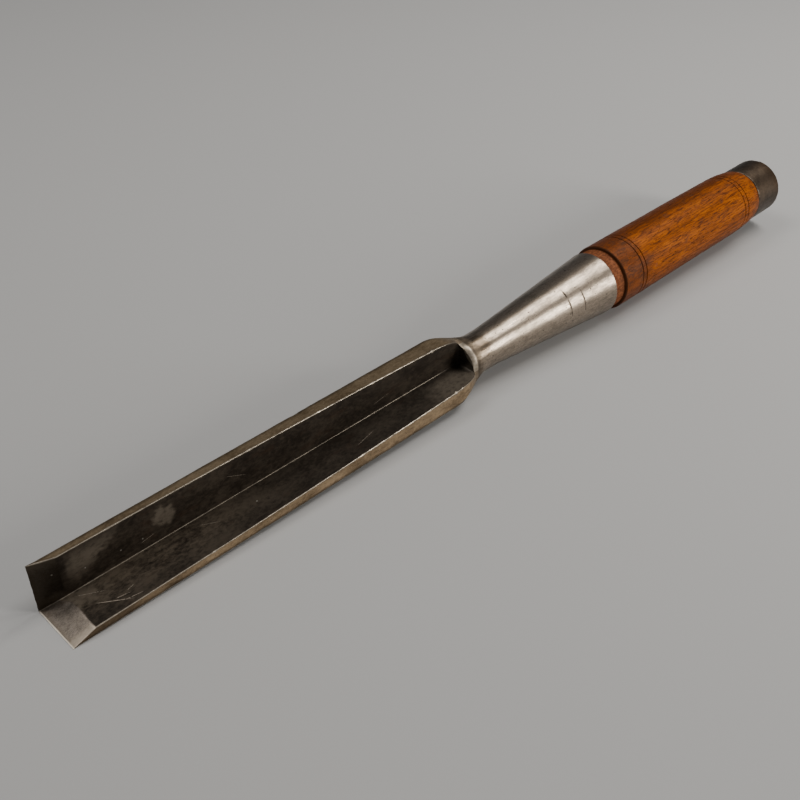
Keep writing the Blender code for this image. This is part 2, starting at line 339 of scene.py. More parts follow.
def bevel_heel(across):
    """Where the inside bevel ends: sooner in the corner, slightly bellied across the wing."""
    heel = BEVEL_AT_CORNER + (BEVEL_AT_ARRIS - BEVEL_AT_CORNER) * ramp(across, 0.0, 0.22)
    return heel + BEVEL_BELLY * np.sin(math.pi * across)


def wing_thickness(x, across):
    """Thickness at x; across runs from 0 in the inner corner to 1 at the arris."""
    along = np.clip((x - BEVEL_AT_ARRIS) / (CHANNEL_END - BEVEL_AT_ARRIS), 0.0, 1.0)
    body = THICKNESS_AT_HEEL + THICKNESS_GAIN * along + THICKNESS_SWELL * along**2
    bevel = EDGE_THICKNESS + (THICKNESS_AT_HEEL - EDGE_THICKNESS) * x / bevel_heel(across)
    return body - HEEL_SOFTNESS * np.logaddexp(0.0, (body - bevel) / HEEL_SOFTNESS)


def drawn_in(x, points, tool):
    """Draws a section's points in to the shoulders, each along its own radius."""
    neck, full = tool.offset, tool.arris
    along = min(1.0, (x - SHOULDER_START) / (CHANNEL_END - SHOULDER_START))
    arris_reach = neck + (full - neck) * math.sqrt(1.0 - along * along)
    sweep = 1.0 - ramp(x, SWEEP_START, SWEEP_END)
    outer_reach = neck + (math.hypot(full, neck) - neck) * sweep
    radius = np.hypot(points[:, 0], points[:, 1])
    angle = np.degrees(np.arctan2(points[:, 1], points[:, 0]))
    from_channel = np.abs((angle - CHANNEL_MIDDLE + 180.0) % 360.0 - 180.0)
    weight = ramp(from_channel, CHANNEL_SPREAD, SPREAD_TO_OUTER_FACES)
    reach = arris_reach * (1.0 - weight) + outer_reach * weight
    softness = 0.01 + 0.3 * ramp(x, SHOULDER_START, SHOULDER_START + 5.0)
    softness *= 1.0 - 0.97 * ramp(x, SWEEP_END - 10.0, SWEEP_END - 1.0)
    excess = softness * np.logaddexp(0.0, (radius - reach) / softness)
    return points * (1.0 - excess / np.maximum(radius, 0.5 * neck))[:, None]


def eased(steps):
    """Shares between 0 and 1, closer together near both ends, ends left out."""
    even = np.arange(1, steps) / steps
    return 0.45 * even + 0.275 * (1.0 - np.cos(math.pi * even))


def rounded(before, corner, after, radius):
    """Points round a corner, from radius before it to radius after it."""
    start = corner + (before - corner) * radius / np.linalg.norm(before - corner)
    end = corner + (after - corner) * radius / np.linalg.norm(after - corner)
    share = (np.arange(CORNER_STEPS + 1) / CORNER_STEPS)[:, None]
    return (1 - share) ** 2 * start + 2 * share * (1 - share) * corner + share**2 * end


def side_steps(side):
    """How many spans a side of the section has; the wings' edge faces are the narrow ones."""
    return EDGE_STEPS if side in (FAR_EDGE, NEAR_EDGE) else WING_STEPS


def section(x, tool, radii, hollow):
    """One closed loop of (y, z) points: near outer edge, outer corner, far outer edge, far
    arris, inner corner, near arris, each rounded by its own radius and followed by its side.
    Hollow is how far the middle of each outer side dips."""
    full, face = tool.arris, tool.offset
    arris = face - float(wing_thickness(x, np.float64(1.0)))
    inside = face - float(wing_thickness(x, np.float64(0.0)))
    corners = [(-full, -face), (face, -face), (face, full)]
    corners = np.array(corners + [(arris, full), (inside, -inside), (-full, -arris)])
    parts = []
    for i, here in enumerate(corners):
        after = corners[(i + 1) % 6]
        parts.append(rounded(corners[i - 1], here, after, radii[i]))
        share = eased(side_steps(i))
        length = np.linalg.norm(after - here)
        direction = (after - here) / length
        travel = radii[i] + (length - radii[i] - radii[(i + 1) % 6]) * share
        inward = np.array([-direction[1], direction[0]])
        dip = hollow[i] * np.sin(math.pi * share)
        side = here + direction * travel[:, None] + inward * dip[:, None]
        if i == FAR_CHANNEL:
            side[:, 0] = face - wing_thickness(x, 1.0 - travel / length)
        if i == NEAR_CHANNEL:
            side[:, 1] = wing_thickness(x, travel / length) - face
        parts.append(side)
    return np.concatenate(parts)


def section_marks():
    """What each point of a section is: its side, its place across the wing, its corner's wear."""
    wear, crease, edge, across = [], [], [], []
    for i in range(6):
        share = np.arange(CORNER_STEPS + 1) / CORNER_STEPS
        steps = side_steps(i)
        flat = np.zeros(steps - 1)
        hump = np.sin(math.pi * (0.15 + 0.7 * share))
        wear += [hump * CORNER_WEAR[i], flat]
        crease += [hump**2 * (i == INNER_CORNER), flat]
        edge += [share * 0.0 + (i in (FAR_EDGE, NEAR_EDGE)), flat + (i in (FAR_EDGE, NEAR_EDGE))]
        place = {FAR_CHANNEL: 1.0 - eased(steps), NEAR_CHANNEL: eased(steps)}.get(i, flat + 1.0)
        across += [share * 0.0 + (i != INNER_CORNER), place]
    named = {"wear": wear, "crease": crease, "edge": edge, "across": across}
    return {key: np.concatenate(parts) for key, parts in named.items()}


def blade_stations():
    """Places along the open channel, closest together at the bevel and the shoulders."""
    tip = [0.0, 0.12, 0.3, 0.6, 0.9]
    bevel = np.arange(1.25, 13.0, 0.35)
    body = np.arange(13.0, SHOULDER_START - 3.0, BLADE_STEP)
    shoulder = np.linspace(SHOULDER_START - 3.0, CHANNEL_END - 1.5, 44)
    return np.concatenate([tip, bevel, body, shoulder])


def worn_radii(x, waves):
    """The six corners' rounding at x: uneven, with a few deeper nicks along the arrises."""
    uneven = waves([[x, 9.0 * i, 0.0] for i in range(6)])
    radii = np.array(CORNER_ROUNDING) * (1.0 + 0.22 * uneven)
    for corner, middle, half_width, extra in NICKS:
        radii[corner] += extra * bump(x, middle, half_width)
    thin = 0.4 * float(wing_thickness(x, np.float64(1.0)))
    limits = np.where(np.arange(6) == OUTER_CORNER, 3.0 * thin, thin)
    limits[INNER_CORNER] = 0.25 + 0.08 * x
    return np.maximum(np.minimum(radii, limits), 0.02)


def tip_faces(starts):
    """Closes the cutting edges: a strip between outer and channel side, and both its ends."""
    outer = list(range(starts[NEAR_OUTER] + CORNER_STEPS, starts[FAR_EDGE] + 1))
    inner = list(range(starts[FAR_CHANNEL] + CORNER_STEPS, starts[NEAR_EDGE] + 1))[::-1]
    strip = [[a, b, c, d] for a, b, c, d in zip(outer, inner, inner[1:], outer[1:])]
    far_end = list(range(starts[FAR_EDGE], starts[FAR_CHANNEL] + CORNER_STEPS + 1))
    near_end = list(range(starts[NEAR_EDGE], starts[-1])) + list(range(CORNER_STEPS + 1))
    return strip + [far_end, near_end]


def blade_marks(rings, shares, marks, inner):
    """What the blade's material needs to know at each point."""
    waves = Waves(23, 9.0, 1.5)
    x = rings[..., 0]
    uneven = waves(rings)
    across = np.broadcast_to(marks["across"], x.shape)
    far = ramp(rings[..., 2] + rings[..., 1], -0.5, 0.5)
    in_channel = np.zeros(x.shape)
    in_channel[:, inner] = 1.0
    before_rim = 1.0 - ramp(shares, 0.8, 0.95)[:, None]
    rim = in_channel * (1.0 - before_rim)
    rim *= 1.0 - ramp(x, LIP_END - 1.0, LIP_END + 0.3)
    worn = marks["wear"] * (0.8 + 0.25 * uneven) * before_rim
    worn *= 1.0 - 0.35 * ramp(x, *ARRIS_WEAR_LESSENS)
    heel = bevel_heel(across)
    honed = in_channel * (1.0 - ramp(x + 0.12 * uneven, heel - 0.25, heel + 0.3))
    near_smear = bump(across + 0.06 * uneven, 0.2, 0.34)
    near_smear *= 1.0 - ramp(x + 3.0 * uneven, *NEAR_SMEAR_ENDS)
    diagonal = 15.0 + 24.0 * across + 2.0 * uneven
    far_band = (1.0 - ramp(x, diagonal - 3.0, diagonal + 3.0)) * bump(across, 0.62, 0.5)
    far_band *= ramp(x + uneven, *FAR_BAND_BEGINS)
    along_patch = (x - FAR_PATCH[0]) / FAR_PATCH_REACH[0]
    across_patch = (across - FAR_PATCH[1]) / FAR_PATCH_REACH[1]
    far_patch = 1.0 - ramp(along_patch**2 + across_patch**2 + 0.5 * uneven, 0.3, 1.3)
    grey_end = 0.55 * ramp(x + 3.0 * uneven, *GREY_END_BEGINS) * ramp(across, 0.05, 0.4)
    rubbed = (1.0 - far) * np.maximum(near_smear, grey_end) + far * np.maximum(far_band, far_patch)
    crease_end = 1.0 - ramp(x + 2.0 * uneven, *CREASE_ENDS)
    return {
        "wear": np.clip(worn + rim * (0.5 + 0.2 * uneven), 0.0, 1.0),
        "crease": marks["crease"] * crease_end * np.clip(0.8 + 0.3 * uneven, 0.0, 1.0),
        "edge": marks["edge"] * (1.0 - ramp(x, *EDGE_FACES_END)),
        "channel": in_channel * before_rim,
        "honed": honed,
        "rubbed": in_channel * rubbed * (1.0 - honed),
        "across": across,
        "far": far,
        "neck": ramp(x + uneven, *BRIGHT_STEEL_BEGINS),
    }


def towards_rim(path, share, depth, tool, waves):
    """Takes the channel's path a share of the way to the worn rim of the wall that ends it."""
    ends = np.arctan2(path[[0, -1], 1], path[[0, -1], 0]) % (2.0 * math.pi)
    turn = np.linspace(0.0, 1.0, len(path))
    angle = ends[0] + (ends[1] - ends[0]) * turn
    chipped = 1.0 + 0.14 * waves(np.stack([turn * 60.0, turn * 0.0, turn * 0.0], axis=1))
    radius = tool.offset - depth * chipped * np.sin(math.pi * turn)
    rim = np.stack([radius * np.cos(angle), radius * np.sin(angle)], axis=1)
    return path * (1.0 - share) + rim * share


def blade(tool):
    """The corner blade with its shoulders, the wall that closes the channel, and the neck."""
    waves = Waves(11, 60.0, 6.0)
    marks = section_marks()
    starts = [sum(CORNER_STEPS + side_steps(i) for i in range(part)) for part in range(7)]
    channel_start, channel_end = starts[FAR_CHANNEL], starts[NEAR_EDGE] + CORNER_STEPS + 1
    inner = slice(channel_start, channel_end)
    plan = [(x, 0.0, 0.0) for x in blade_stations()]
    plan += [(CHANNEL_END + step, share, LIP_DEPTH) for step, share in WALL_STEPS]
    lip_start = WALL_STEPS[-1][0]
    for run in np.arange(1, LIP_STEPS + 1) / LIP_STEPS:
        step = lip_start + (LIP_LENGTH - lip_start) * run
        plan.append((CHANNEL_END + step, 1.0, LIP_DEPTH * (1.0 - run) ** 1.8))
    neck = np.linspace(LIP_END, WELD, NECK_STEPS)[1:]
    plan += [(x, 1.0, 0.0) for x in neck]

    loops = []
    for x, share, depth in plan:
        hollow = 0.05 + 0.05 * waves([[x, 50.0 * i, 30.0] for i in range(6)])
        points = section(x, tool, worn_radii(min(x, CHANNEL_END), waves), hollow)
        if x > SHOULDER_START:
            points = drawn_in(x, points, tool)
        if share > 0.0:
            points[inner] = towards_rim(points[inner], share, depth, tool, waves)
        loops.append(points)
    shares = np.array([share for x, share, depth in plan])
    rings = np.empty((len(loops), len(loops[0]), 3))
    rings[..., 1:] = np.array(loops)
    rings[..., 0] = np.array([x for x, share, depth in plan])[:, None]
    nibble = 0.06 * (1.0 + waves(rings * np.array([1.0, 2.5, 2.5]))) * np.exp(-rings[..., 0] / 1.5)
    rings[..., 0] += np.maximum(nibble, 0.0)
    marked = blade_marks(rings, shares, marks, inner)
    caps = tip_faces(starts) + [ring_faces(rings, -1)]
    return skinned("blade_skin", tool, rings, caps, marked, SHARP_ON_BLADE)


# ---------------- turned pieces


def turned(profile):
    """Rings of points about the tool's axis through (x, radius) pairs."""
    x, radius = np.array(profile).T
    angle = 2.0 * math.pi * np.arange(TURNED_STEPS) / TURNED_STEPS
    rings = np.empty((len(x), TURNED_STEPS, 3))
    rings[..., 0] = x[:, None]
    rings[..., 1] = radius[:, None] * np.cos(angle)
    rings[..., 2] = radius[:, None] * np.sin(angle)
    return rings


def pressed_in(rings, depth):
    """Moves every point towards the tool's axis by its depth."""
    radius = np.hypot(rings[..., 1], rings[..., 2])
    moved = rings.copy()
    moved[..., 1:] *= (1.0 - depth / np.maximum(radius, 1.0))[..., None]
    return moved


def quarter(middle, radius, start_degrees, steps):
    """A quarter turn of profile points, from start_degrees, clockwise towards +X."""
    turn = np.radians(start_degrees - 90.0 * np.arange(steps + 1) / steps)
    return [(middle[0] + radius * math.cos(a), middle[1] + radius * math.sin(a)) for a in turn]


def bore_radius(x):
    """Inside of the socket, a straight taper."""
    mouth = SOCKET_MOUTH_RADIUS - SOCKET_WALL
    slope = (mouth - BORE_BOTTOM_RADIUS) / (SOCKET_MOUTH - BORE_BOTTOM)
    return mouth + slope * (x - SOCKET_MOUTH)


def socket_radius(x):
    """Outside of the socket, which leaves the neck level and then flares."""
    along = (x - WELD) / (SOCKET_MOUTH - WELD)
    flare = along**SOCKET_FLARE * (1.0 - np.exp(-along / SOCKET_EASING))
    return NECK_RADIUS + (SOCKET_MOUTH_RADIUS - NECK_RADIUS) * flare


def socket(tool):
    """The socket, with its worn rim, its bore, scribed marks and a few shallow dents."""
    places = set(np.arange(WELD, SOCKET_MOUTH - SOCKET_RIM, TURNED_STEP).round(4))
    for middle, first, last in SCRIBED:
        places |= set((middle + GROOVE_STEPS).round(4))
    profile = [(x, socket_radius(x)) for x in sorted(places)]
    rim_middle = (SOCKET_MOUTH - SOCKET_RIM, SOCKET_MOUTH_RADIUS - SOCKET_RIM)
    profile += quarter(rim_middle, SOCKET_RIM, 90.0, 4)
    inner = bore_radius(SOCKET_MOUTH)
    profile += [(SOCKET_MOUTH, inner + 0.3), (SOCKET_MOUTH - 0.1, inner + 0.08)]
    outside = len(profile)
    profile += [(x, bore_radius(x)) for x in np.linspace(SOCKET_MOUTH - 0.4, BORE_BOTTOM, 40)]
    profile += [(BORE_POINT + 1.0, 2.0), (BORE_POINT, 0.3)]
    rings = turned(profile)
    bore = np.zeros(rings.shape[:2])
    bore[outside:] = 1.0

    angle = np.degrees(np.arctan2(rings[..., 2], rings[..., 1]))
    uneven = Waves(31, 5.0, 1.0)(rings)
    scribed = np.zeros(rings.shape[:2])
    for middle, first, last in SCRIBED:
        span = ramp(angle, first - 4.0, first + 4.0)
        span *= 1.0 - ramp(angle, last - 4.0, last + 4.0)
        drift = 0.12 * np.sin(np.radians(angle * 3.0))
        scribed = np.maximum(scribed, bump(rings[..., 0], middle + drift, SCRIBE_HALF_WIDTH) * span)
    scribed *= (1.0 - bore) * np.clip(0.8 + 0.5 * uneven, 0.0, 1.0)
    dents = DENT_DEPTH * (1.0 + Waves(37, 40.0, 8.0)(rings))
    level = ramp(rings[..., 0], WELD, WELD + 6.0) * (1.0 - bore)
    rings = pressed_in(rings, dents * level + SCRIBE_DEPTH * scribed)
    rim = bump(rings[..., 0], SOCKET_MOUTH, 0.55) * np.clip(0.8 + 0.5 * uneven, 0.0, 1.0)
    marks = {"wear": rim, "bore": bore, "scribed": scribed}
    caps = [ring_faces(rings, 0), ring_faces(rings, -1)]
    return skinned("socket_skin", tool, rings, caps, marks, SHARP_ON_SOCKET)


def barrel_radius(x):
    """The grip: straight, then drawn in towards the hoop."""
    along = np.clip((x - NOSE_START) / (HOOP_SHOULDER - NOSE_START), 0.0, 1.0)
    return BARREL_RADIUS - (BARREL_RADIUS - HOOP_SHOULDER_RADIUS) * along**NOSE_FULLNESS


def handle_profile():
    """Tenon, shoulder, grip with its scribed grooves, hoop seat and butt."""
    end = bore_radius(TENON_END) - FIT
    profile = [(TENON_END, 0.3), (TENON_END, end - TENON_CHAMFER)]
    tenon = np.arange(TENON_END + TENON_CHAMFER, SHOULDER, TURNED_STEP)
    profile += [(x, bore_radius(x) - FIT) for x in tenon]
    root = bore_radius(SHOULDER) - FIT
    profile += [(SHOULDER - 0.12, root - 0.02), (SHOULDER, root + 0.12)]
    profile.append((SHOULDER, 0.5 * (root + BARREL_RADIUS - BARREL_EDGE)))
    profile += quarter((SHOULDER + BARREL_EDGE, BARREL_RADIUS - BARREL_EDGE), BARREL_EDGE, 180.0, 5)
    places = set(np.arange(SHOULDER + BARREL_EDGE + 0.5, HOOP_SHOULDER - 0.5, TURNED_STEP).round(4))
    for middle in GROOVES:
        places |= set((middle + GROOVE_STEPS).round(4))
    for x in sorted(places):
        depth = sum(GROOVE_DEPTH * bump(x, middle, GROOVE_HALF_WIDTH) for middle in GROOVES)
        profile.append((x, barrel_radius(x) - depth))
    profile += quarter((HOOP_SHOULDER - 0.4, HOOP_SHOULDER_RADIUS - 0.4), 0.4, 90.0, 4)
    profile += [(HOOP_SHOULDER, HOOP_SEAT_RADIUS), (BUTT_EDGE, HOOP_SEAT_RADIUS)]
    for share in np.arange(1, 13) / 12:
        rise = (BUTT_FLAT - BUTT_EDGE) * math.sin(0.5 * math.pi * share)
        radius = HOOP_SEAT_RADIUS + (BUTT_FLAT_RADIUS - HOOP_SEAT_RADIUS) * share
        profile.append((BUTT_EDGE + rise, radius))
    return profile + [(BUTT_FLAT, 3.0), (BUTT_FLAT, 0.3)]


def handle(tool):
    """The turned handle, a little out of round and bruised from use."""
    rings = turned(handle_profile())
    x = rings[..., 0]
    radius = np.hypot(rings[..., 1], rings[..., 2])
    grip = ramp(x, SHOULDER, SHOULDER + 2.0)
    grip *= 1.0 - ramp(x, HOOP_SHOULDER - 2.0, HOOP_SHOULDER)
    swell = SWELL_DEPTH * (1.0 + Waves(41, 70.0, 18.0)(rings))
    bruises = grip * ramp(Waves(43, 16.0, 4.0)(rings * np.array([0.6, 1.0, 1.0])), 0.8, 1.4)
    rings = pressed_in(rings, grip * swell + BRUISE_DEPTH * bruises)
    face = (radius > bore_radius(SHOULDER) - FIT + 0.05) & (x < SHOULDER + 0.55)
    grooves = sum(bump(x, middle, 0.55) for middle in GROOVES)
    marks = {"shoulder": face * 1.0, "groove": grooves, "bruised": bruises}
    caps = [ring_faces(rings, 0), ring_faces(rings, -1)]
    return skinned("handle_skin", tool, rings, caps, marks, SHARP_ON_HANDLE)


def hoop(tool):
    """The striking ring: chamfered towards the grip, rounded over and bruised at the butt."""
    inside = HOOP_SEAT_RADIUS + FIT
    profile = [(HOOP_START, inside), (HOOP_START, HOOP_RADIUS - HOOP_CHAMFER - 0.1)]
    profile += [(HOOP_START + 0.03, HOOP_RADIUS - HOOP_CHAMFER)]
    profile += [(HOOP_START + HOOP_CHAMFER - 0.05, HOOP_RADIUS - 0.04)]
    body = np.arange(HOOP_START + HOOP_CHAMFER + 0.05, HOOP_END - HOOP_ROUNDING, 0.5)
    profile += [(x, HOOP_RADIUS) for x in body]
    profile += quarter((HOOP_END - HOOP_ROUNDING, HOOP_RADIUS - HOOP_ROUNDING), HOOP_ROUNDING, 90.0, 8)[:-1]
    profile += [(HOOP_END, inside + 0.1), (HOOP_END - 0.1, inside)]
    rings = turned(profile)
    x = rings[..., 0]
    radius = np.hypot(rings[..., 1], rings[..., 2])
    outside = ramp(radius, inside + 0.3, inside + 0.9)
    hammered = Waves(53, 9.0, 2.5)(rings)
    depth = DENT_DEPTH * (1.0 + Waves(51, 30.0, 8.0)(rings))
    depth += HAMMERED_DEPTH * ramp(hammered, 0.3, 1.1) * ramp(x, HOOP_END - 5.0, HOOP_END - 1.0)
    rings = pressed_in(rings, depth * outside)
    uneven = Waves(57, 5.0, 1.0)(rings)
    near_edge = bump(x, HOOP_START + HOOP_CHAMFER, 0.8) * outside
    far_edge = bump(radius, HOOP_RADIUS - 0.6, 0.9) * ramp(x, HOOP_END - 2.2, HOOP_END - 1.2)
    wear = np.clip((0.4 * near_edge + 0.7 * far_edge) * (0.85 + 0.6 * uneven), 0.0, 1.0)
    return skinned("hoop_skin", tool, rings, [], {"wear": wear}, SHARP_ON_HANDLE, closed=True)


# ---------------- material helpers


class Paint:
    """One material. Its nodes are added by short calls, and every place and size that they
    take is in the tool's own axes and in millimetres."""

    def __init__(self, name, metallic=0.0, specular=0.5):
        self.material = bpy.data.materials.new(name)
        self.material.use_nodes = True
        self.nodes = self.material.node_tree.nodes
        self.links = self.material.node_tree.links
        self.shader = self.nodes["Principled BSDF"]
        self.shader.inputs["Metallic"].default_value = metallic
        self.shader.inputs["Specular IOR Level"].default_value = specular
        self.tool = self.add("Attribute", attribute_name="tool").outputs["Vector"]
        apart = self.add("SeparateXYZ", [self.tool])
        self.x, self.y, self.z = apart.outputs[0], apart.outputs[1], apart.outputs[2]

    def add(self, kind, inputs=(), **settings):
        """A node with its settings and its first inputs: sockets are linked, values are set."""
        node = self.nodes.new("ShaderNode" + kind)
        for key, value in settings.items():
            setattr(node, key, value)
        for place, value in enumerate(inputs):
            if isinstance(value, bpy.types.NodeSocket):
                self.links.new(value, node.inputs[place])
            elif value is not None:
                node.inputs[place].default_value = value
        return node

    def marks(self, *names):
        """What the piece's mesh says at each point under these names."""
        return [self.add("Attribute", attribute_name=name).outputs["Fac"] for name in names]

    def math(self, operation, *values):
        """One Math node."""
        return self.add("Math", values, operation=operation).outputs[0]

    def chain(self, operation, values):
        """Math nodes in a row, each of which takes in one more value."""
        total = values[0]
        for value in values[1:]:
            total = self.math(operation, total, value)
        return total

    def times(self, *values):
        return self.chain("MULTIPLY", values)

    def sum(self, *values):
        return self.chain("ADD", values)

    def highest(self, *values):
        return self.chain("MAXIMUM", values)

    def rest(self, value):
        """What is left of 1."""
        return self.math("SUBTRACT", 1.0, value)

    def weighted(self, *pairs):
        """The sum of values, each given with its weight."""
        return self.sum(*[self.times(value, weight) for value, weight in pairs])

    def length(self, first, second):
        """Length of the vector with these two parts."""
        squares = self.sum(self.times(first, first), self.times(second, second))
        return self.math("SQRT", squares)

    def distance(self, middle):
        """How far each point is from this place on the tool."""
        return self.add("VectorMath", [self.tool, middle], operation="DISTANCE").outputs["Value"]

    def grade(self, value, low, high, to_low=0.0, to_high=1.0):
        """Takes value from low..high to to_low..to_high, smoothly and without overshoot."""
        inputs = [value, low, high, to_low, to_high]
        return self.add("MapRange", inputs, interpolation_type="SMOOTHSTEP").outputs[0]

    def mix(self, share, first, second):
        """A colour between two colours."""
        node = self.add("Mix", data_type="RGBA")
        for place, value in ((0, share), (6, first), (7, second)):
            if isinstance(value, bpy.types.NodeSocket):
                self.links.new(value, node.inputs[place])
            else:
                node.inputs[place].default_value = (*value, 1.0) if place else value
        return node.outputs[2]

    def blend(self, share, first, second):
        """A number between two numbers."""
        node = self.add("Mix", [share, None, first, second], data_type="FLOAT")
        return node.outputs[0]

    def stretched(self, along, across, shift):
        """The place on the tool in units of these sizes along and across it."""
        scale = (1.0 / along, 1.0 / across, 1.0 / across)
        offset = (shift, 1.7 * shift, 2.3 * shift)
        return self.add("VectorMath", [self.tool, scale, offset], operation="MULTIPLY_ADD").outputs[0]

    def noise(self, along, across, detail=3.0, roughness=0.55, shift=0.0, distortion=0.0):
        """Cloudy noise, 0 to 1, with features of this size along and across the tool."""
        node = self.add("TexNoise", [self.stretched(along, across, shift)])
        settings = {"Scale": 1.0, "Detail": detail, "Roughness": roughness, "Distortion": distortion}
        for key, value in settings.items():
            node.inputs[key].default_value = value
        return node.outputs[0]

    def pits(self, along, across, share, shift):
        """Scattered round spots of this spacing, 1 inside; share is how many cells have one."""
        node = self.add("TexVoronoi", [self.stretched(along, across, shift)])
        node.inputs["Scale"].default_value = 1.0
        chance = self.add("SeparateXYZ", [node.outputs["Color"]])
        present = self.math("LESS_THAN", chance.outputs[0], share)
        spread = self.math("MULTIPLY_ADD", chance.outputs[1], 0.16, 0.06)
        inside = self.math("SUBTRACT", spread, node.outputs["Distance"])
        return self.times(present, self.grade(inside, 0.0, 0.06))

    def spot(self, middle, radius):
        """One round spot, 1 inside."""
        return self.grade(self.distance(middle), 0.7 * radius, 1.3 * radius, 1.0, 0.0)

    def speck(self, across_wing, place):
        """A small round mark on a channel face at (along, across)."""
        dx = self.math("SUBTRACT", self.x, place[0])
        dy = self.math("SUBTRACT", across_wing, place[1])
        return self.grade(self.length(dx, dy), 0.6 * SPECK_RADIUS, 1.3 * SPECK_RADIUS, 1.0, 0.0)

    def streak(self, across_wing, start, end, half_width):
        """A straight scratch on a channel face, from start to end, each (along, across)."""
        length = math.hypot(end[0] - start[0], end[1] - start[1])
        run_x, run_y = (end[0] - start[0]) / length, (end[1] - start[1]) / length
        dx = self.math("SUBTRACT", self.x, start[0])
        dy = self.math("SUBTRACT", across_wing, start[1])
        along = self.weighted((dx, run_x), (dy, run_y))
        off = self.math("ABSOLUTE", self.weighted((dx, run_y), (dy, -run_x)))
        inside = self.grade(off, 0.4 * half_width, 1.3 * half_width, 1.0, 0.0)
        begun = self.grade(along, 0.0, 0.15 * length)
        ended = self.grade(along, 0.7 * length, length, 1.0, 0.0)
        return self.times(inside, begun, ended)

    def finish(self, colour, roughness, height, depth, metallic=None):
        """Links what was worked out to the shader; depth is the relief's height in millimetres."""
        relief = self.nodes.new("ShaderNodeBump")
        relief.inputs["Strength"].default_value = 1.0
        relief.inputs["Distance"].default_value = depth * MM
        self.links.new(height, relief.inputs["Height"])
        self.links.new(relief.outputs[0], self.shader.inputs["Normal"])
        self.links.new(colour, self.shader.inputs["Base Color"])
        self.links.new(roughness, self.shader.inputs["Roughness"])
        if metallic is not None:
            self.links.new(metallic, self.shader.inputs["Metallic"])
        return self.material


def painted(piece, material, body, node):
    """Gives a piece its material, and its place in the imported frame."""
    piece.data.materials.append(material)
    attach(piece, body)
    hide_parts(node)


# ---------------- materials


def bright_steel(paint):
    """Colour, roughness and relief of the worn bright steel that the neck and the socket share."""
    clouds = paint.noise(24.0, 10.0, 3.0, 0.55, 5.0)
    mottle = paint.noise(4.5, 1.4, 5.0, 0.65, 9.0)
    drawn = paint.noise(20.0, 0.6, 3.0, 0.6, 17.0)
    share = paint.grade(paint.weighted((clouds, 0.35), (mottle, 0.45), (drawn, 0.3)), 0.38, 0.7)
    colour = paint.mix(share, (0.2, 0.163, 0.125), (0.42, 0.345, 0.27))
    fine, broad = paint.pits(1.3, 1.3, 0.4, 9.0), paint.pits(4.5, 3.6, 0.32, 14.0)
    pitting = paint.highest(paint.pits(2.1, 2.1, 0.5, 4.0), fine, broad)
    colour = paint.mix(paint.times(pitting, 0.85), colour, (0.04, 0.03, 0.022))
    grain = paint.noise(1.1, 0.8, 3.0, 0.6, 29.0)
    colour = paint.mix(paint.grade(grain, 0.35, 0.6, 0.25, 0.0), colour, (0.07, 0.057, 0.045))
    from_stain = paint.sum(paint.distance(WELD_STAIN), paint.times(mottle, 10.0))
    stain = paint.grade(from_stain, 9.0, 15.5, 1.0, 0.0)
    colour = paint.mix(paint.times(stain, 0.85), colour, (0.095, 0.07, 0.046))
    roughness = paint.blend(share, 0.38, 0.27)
    height = paint.weighted((mottle, 0.7), (drawn, 0.3), (pitting, -0.6))
    return colour, roughness, height


